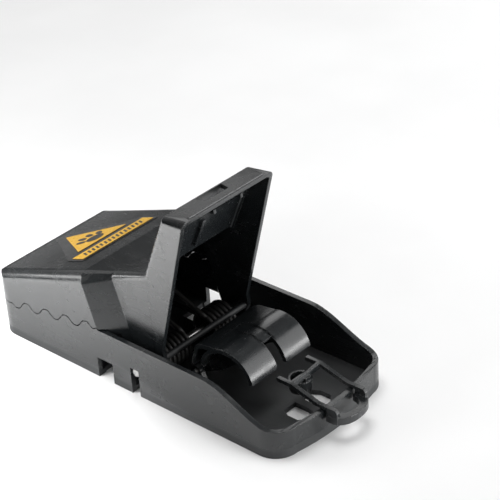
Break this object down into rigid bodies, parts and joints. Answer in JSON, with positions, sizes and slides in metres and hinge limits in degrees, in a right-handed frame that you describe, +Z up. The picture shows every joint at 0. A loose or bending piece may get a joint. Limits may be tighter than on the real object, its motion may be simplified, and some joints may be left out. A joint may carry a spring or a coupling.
{
  "type": "snap mouse trap",
  "caption": "Plastic snap mouse trap shown set: tray, lift-out bait holder hooked over its front rim, trigger pedal, and a sprung lever-and-jaw cover on a cross axle.",
  "frame": {"origin": "centre of the footprint, on the floor the tray stands on", "axes": "+X along the axle, +Y from the bait end towards the lever end, +Z up"},
  "size_m": [0.06, 0.15, 0.0753],
  "materials": {
    "black_plastic": "satin moulded",
    "spring_steel": "bright drawn wire",
    "yellow_print": "printed under film",
    "clear_film": "glossy film"
  },
  "bodies": {
    "tray": {"base_tray": "black_plastic", "pivot_axle": "spring_steel", "pedal_pin": "spring_steel", "torsion_spring_left": "spring_steel", "torsion_spring_right": "spring_steel"},
    "cover": {"jaw_cover": "black_plastic", "label_film": "clear_film", "label_strip": "yellow_print", "label_triangle": "yellow_print"},
    "pedal": {"trigger_pedal": "black_plastic"},
    "holder": {"bait_holder": "black_plastic"}
  },
  "joints": [
    {"name": "jaw_hinge", "type": "hinge", "parent": "tray", "child": "cover", "pos_m": [0, 0.0026, 0.009], "axis": [1, 0, 0], "range_deg": [0, 62], "deforming": ["torsion_spring_left", "torsion_spring_right"]},
    {"name": "pedal_hinge", "type": "hinge", "parent": "tray", "child": "pedal", "pos_m": [0, -0.0096, 0.005], "axis": [1, 0, 0], "range_deg": [0, 8], "stiffness_Nm_per_rad": 0.02, "springref_deg": -14.32},
    {"name": "bait_holder_lift", "type": "slide", "parent": "tray", "child": "holder", "axis": [0, 0, 1], "range_m": [0, 0.0042]}
  ]
}
